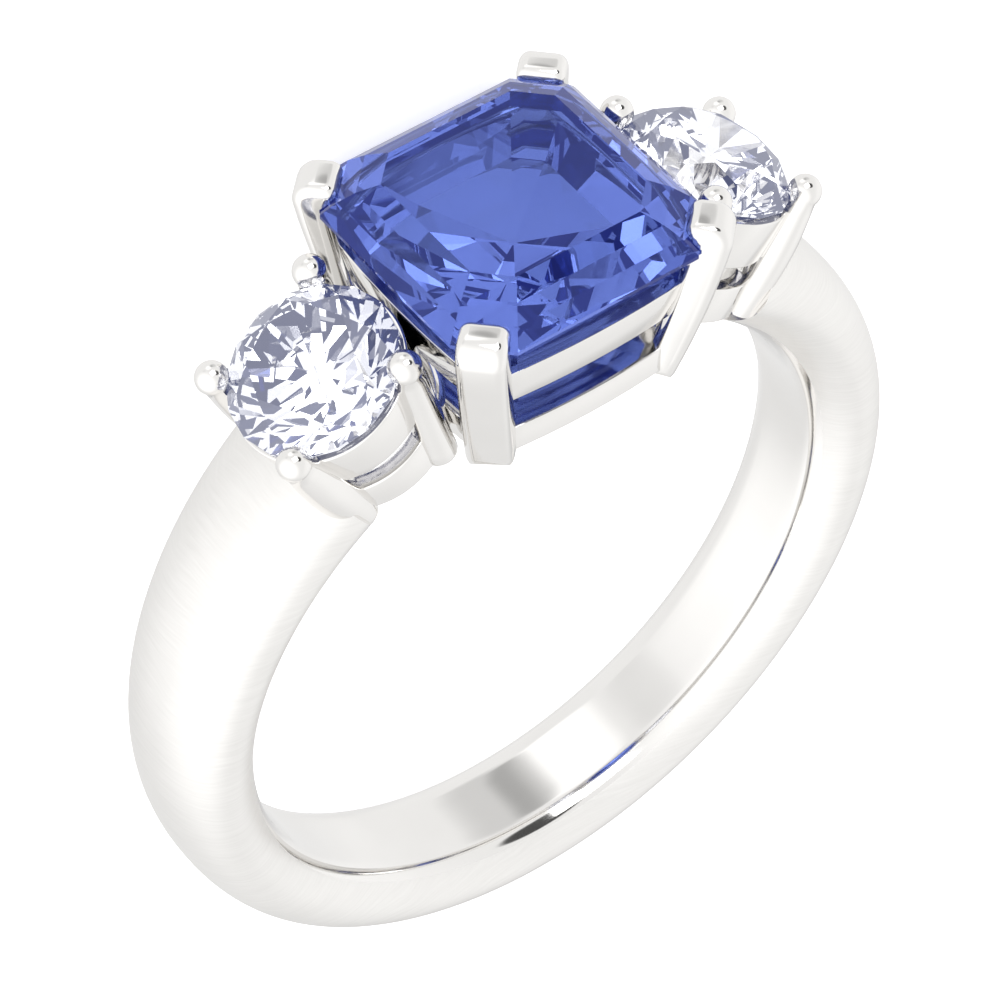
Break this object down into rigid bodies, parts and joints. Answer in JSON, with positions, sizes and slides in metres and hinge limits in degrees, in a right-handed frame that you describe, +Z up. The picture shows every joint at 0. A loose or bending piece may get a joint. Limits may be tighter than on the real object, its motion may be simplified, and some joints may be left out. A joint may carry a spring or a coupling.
{
  "type": "ring",
  "caption": "Finger ring with a square step cut blue stone in a claw basket between round stones in bead prong baskets, on a domed band that widens towards them.",
  "frame": {"origin": "on the surface that the ring lies on, under the middle of its outline seen from above", "axes": "+Z up off the surface, +Y from the bottom of the band towards the stones, +X from the left side stone to the right one"},
  "size_m": [0.0214, 0.0242, 0.0077],
  "materials": {
    "brushed_white_gold": "fine brushed lines across the band",
    "polished_white_gold": "polished",
    "blue_stone": "polished facets",
    "clear_stone": "polished facets"
  },
  "bodies": {
    "root": {"ring_mount": "brushed_white_gold", "centre_stone": "blue_stone", "left_side_stone": "clear_stone", "right_side_stone": "clear_stone"}
  },
  "joints": []
}
